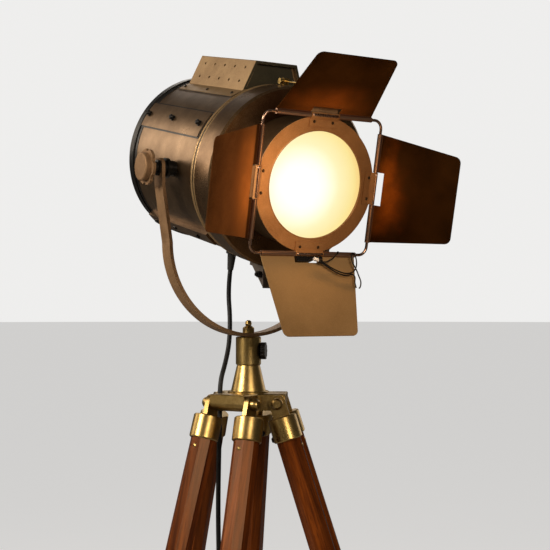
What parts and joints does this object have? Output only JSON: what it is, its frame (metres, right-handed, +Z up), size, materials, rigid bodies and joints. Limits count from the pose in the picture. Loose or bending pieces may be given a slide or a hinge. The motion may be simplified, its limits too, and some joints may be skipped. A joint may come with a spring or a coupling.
{
  "type": "tripod floor lamp",
  "caption": "Spotlight floor lamp with hinged barn-door leaves in a tilting yoke, on a folding wooden tripod with sliding lower legs and a floor cord.",
  "frame": {"origin": "on the floor, under the column axis", "axes": "+Z up along the column; the lamp faces -Y; the tilt axis is along X"},
  "size_m": [0.6752, 0.6826, 1.5452],
  "materials": {
    "bronze_shell": "satin dark bronze",
    "aged_brass": "brushed antique brass",
    "black_steel": "blackened steel",
    "copper_brown": "satin copper brown",
    "copper_wire": "bright copper steel wire",
    "bronze_leaf": "satin dark bronze",
    "bronze_bar": "satin bronze",
    "frosted_lens": "frosted",
    "bulb_glass": "opal",
    "holder_black": "moulded",
    "bright_aluminium": "spun",
    "varnished_wood": "varnished",
    "black_rubber": "matt",
    "cord_sheath": "smooth",
    "plug_black": "moulded"
  },
  "bodies": {
    "base": {"hub": "aged_brass", "hinge_bolts": "aged_brass", "column_cone": "aged_brass", "cord_drop": "cord_sheath", "cord_coil": "cord_sheath", "cord_plug": "plug_black"},
    "swivel": {"yoke": "bronze_bar", "finial_nut": "aged_brass", "socket": "aged_brass", "cord_upper": "cord_sheath"},
    "head": {"drum_shell": "bronze_shell", "rear_rim": "black_steel", "rear_cap": "bronze_shell", "bead_ring": "aged_brass", "front_bell": "bronze_shell", "front_nose": "copper_brown", "lens_ring": "copper_brown", "lens_glass": "frosted_lens", "wire_frame": "copper_wire", "wire_clips": "copper_brown", "clip_rivets": "aged_brass", "vent_box": "aged_brass", "side_plates": "bronze_shell", "bottom_rails": "bronze_shell", "body_screws": "black_steel", "top_catch": "aged_brass", "latch_bracket": "black_steel", "pivot_bosses": "black_steel", "lamp_holder": "holder_black", "bulb": "bulb_glass", "reflector": "bright_aluminium", "lamp_bracket": "bright_aluminium", "cord_gland": "black_rubber"},
    "leaf_right": {"leaf_right": "bronze_leaf"},
    "leaf_top": {"leaf_top": "bronze_leaf"},
    "leaf_left": {"leaf_left": "bronze_leaf"},
    "leaf_bottom": {"leaf_bottom": "bronze_leaf"},
    "tilt_knob_right": {"tilt_knob_right": "aged_brass"},
    "tilt_knob_left": {"tilt_knob_left": "aged_brass"},
    "pan_screw": {"pan_lock_screw": "black_steel"},
    "latch_knob": {"latch_screw": "black_steel"},
    "leg_right": {"leg_right_ferrules": "aged_brass", "leg_right_staves": "varnished_wood", "leg_right_clamp": "aged_brass"},
    "leg_right_lower": {"leg_right_extension": "varnished_wood", "leg_right_foot": "black_rubber"},
    "leg_right_knob": {"leg_right_clamp_screw": "black_steel"},
    "leg_front": {"leg_front_ferrules": "aged_brass", "leg_front_staves": "varnished_wood", "leg_front_clamp": "aged_brass"},
    "leg_front_lower": {"leg_front_extension": "varnished_wood", "leg_front_foot": "black_rubber"},
    "leg_front_knob": {"leg_front_clamp_screw": "black_steel"},
    "leg_rear": {"leg_rear_ferrules": "aged_brass", "leg_rear_staves": "varnished_wood", "leg_rear_clamp": "aged_brass"},
    "leg_rear_lower": {"leg_rear_extension": "varnished_wood", "leg_rear_foot": "black_rubber"},
    "leg_rear_knob": {"leg_rear_clamp_screw": "black_steel"}
  },
  "joints": [
    {"name": "pan", "type": "hinge", "parent": "base", "child": "swivel", "pos_m": [0, 0, 1.1], "axis": [0, 0, 1], "range_deg": [-120, 120], "deforming": ["cord_upper"]},
    {"name": "tilt", "type": "hinge", "parent": "swivel", "child": "head", "pos_m": [0, 0, 1.36], "axis": [1, 0, 0], "range_deg": [-52, 22], "deforming": ["cord_upper"]},
    {"name": "leaf_right_swing", "type": "hinge", "parent": "head", "child": "leaf_right", "pos_m": [0.093, -0.18443, 1.32662], "axis": [0, 0.2147, -0.9767], "range_deg": [-63, 37]},
    {"name": "leaf_top_swing", "type": "hinge", "parent": "head", "child": "leaf_top", "pos_m": [0, -0.2044, 1.41745], "axis": [1, 0, 0], "range_deg": [-41, 59]},
    {"name": "leaf_left_swing", "type": "hinge", "parent": "head", "child": "leaf_left", "pos_m": [-0.093, -0.18443, 1.32662], "axis": [0, -0.2147, 0.9767], "range_deg": [-35, 65]},
    {"name": "leaf_bottom_swing", "type": "hinge", "parent": "head", "child": "leaf_bottom", "pos_m": [0, -0.16446, 1.23579], "axis": [-1, 0, 0], "range_deg": [-30, 70]},
    {"name": "tilt_knob_right_turn", "type": "hinge", "parent": "head", "child": "tilt_knob_right", "pos_m": [0.16, 0, 1.36], "axis": [1, 0, 0], "continuous": true},
    {"name": "tilt_knob_left_turn", "type": "hinge", "parent": "head", "child": "tilt_knob_left", "pos_m": [-0.16, 0, 1.36], "axis": [-1, 0, 0], "continuous": true},
    {"name": "pan_screw_turn", "type": "hinge", "parent": "swivel", "child": "pan_screw", "pos_m": [0, 0, 1.09975], "axis": [0.766, -0.6428, 0], "continuous": true},
    {"name": "latch_turn", "type": "hinge", "parent": "head", "child": "latch_knob", "pos_m": [-0.027, -0.08262, 1.20957], "axis": [1, 0, 0], "continuous": true},
    {"name": "leg_right_fold", "type": "hinge", "parent": "base", "child": "leg_right", "pos_m": [0.03686, -0.02581, 1.0257], "axis": [0.5736, 0.8192, 0], "range_deg": [0, 11.5]},
    {"name": "leg_right_slide", "type": "slide", "parent": "leg_right", "child": "leg_right_lower", "axis": [-0.2463, 0.1725, 0.9537], "range_m": [-0.04, 0.33]},
    {"name": "leg_right_knob_turn", "type": "hinge", "parent": "leg_right", "child": "leg_right_knob", "pos_m": [0.17172, -0.12024, 0.50354], "axis": [0.7812, -0.547, 0.3007], "continuous": true},
    {"name": "leg_front_fold", "type": "hinge", "parent": "base", "child": "leg_front", "pos_m": [-0.04009, -0.02043, 1.0257], "axis": [0.454, -0.891, 0], "range_deg": [0, 11.5]},
    {"name": "leg_front_slide", "type": "slide", "parent": "leg_front", "child": "leg_front_lower", "axis": [0.2679, 0.1365, 0.9537], "range_m": [-0.04, 0.33]},
    {"name": "leg_front_knob_turn", "type": "hinge", "parent": "leg_front", "child": "leg_front_knob", "pos_m": [-0.18679, -0.09517, 0.50354], "axis": [-0.8498, -0.433, 0.3007], "continuous": true},
    {"name": "leg_rear_fold", "type": "hinge", "parent": "base", "child": "leg_rear", "pos_m": [0.00781, 0.04432, 1.0257], "axis": [-0.9848, 0.1736, 0], "range_deg": [0, 11.5]},
    {"name": "leg_rear_slide", "type": "slide", "parent": "leg_rear", "child": "leg_rear_lower", "axis": [-0.0522, -0.2961, 0.9537], "range_m": [-0.04, 0.33]},
    {"name": "leg_rear_knob_turn", "type": "hinge", "parent": "leg_rear", "child": "leg_rear_knob", "pos_m": [0.0364, 0.20645, 0.50354], "axis": [0.1656, 0.9392, 0.3007], "continuous": true}
  ]
}
